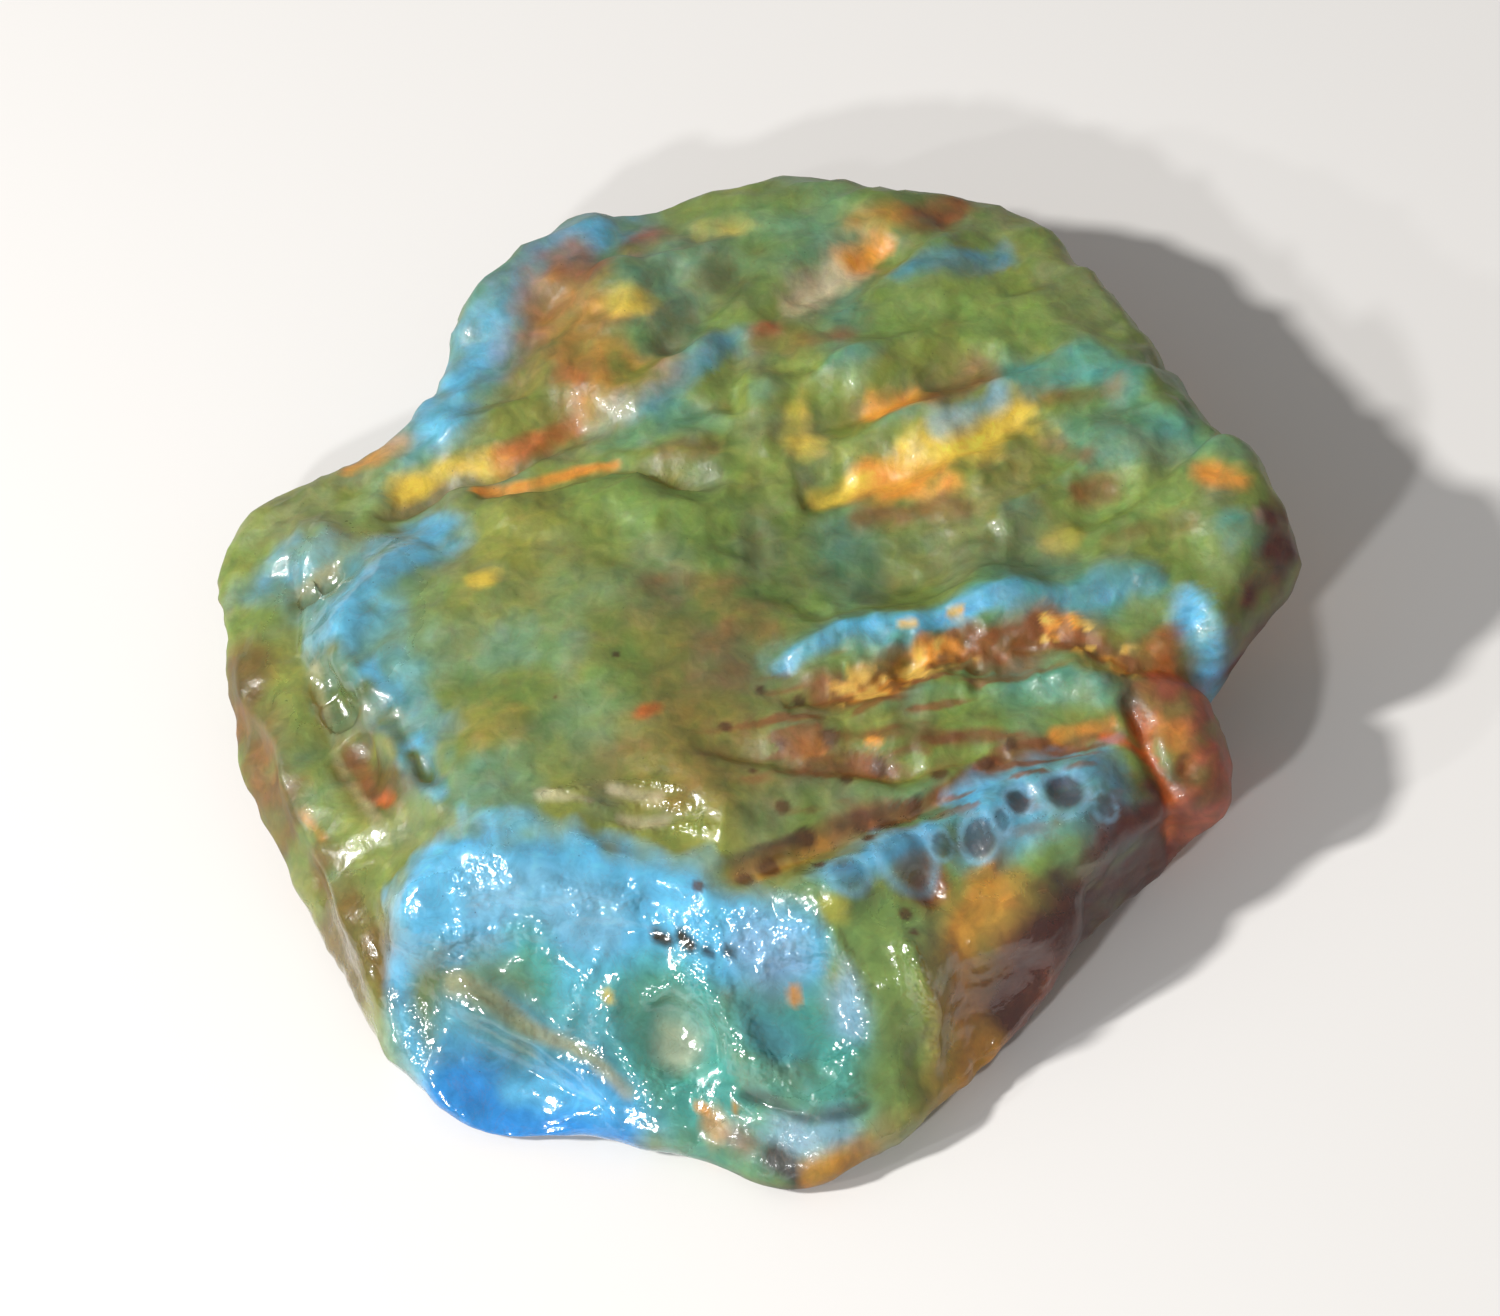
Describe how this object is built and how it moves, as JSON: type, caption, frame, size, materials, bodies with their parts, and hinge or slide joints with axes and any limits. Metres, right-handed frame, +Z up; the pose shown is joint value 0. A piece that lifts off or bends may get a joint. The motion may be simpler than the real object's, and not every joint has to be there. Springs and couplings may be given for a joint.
{
  "type": "rough blue amber nugget",
  "caption": "Low, broken nugget of blue amber with a smooth plateau, slanting ridges, pitted ledges and chipped hollows, lying on a flat facet.",
  "frame": {"origin": "centre of the nugget's footprint box, on the surface that it rests on", "axes": "+Z up and out of the resting facet, +Y away from the viewer towards the rough back edge, +X to the viewer's right"},
  "size_m": [0.0401, 0.0428, 0.0093],
  "materials": {
    "amber": "glossy, broken surface"
  },
  "bodies": {
    "root": {"amber_nugget": "amber"}
  },
  "joints": []
}
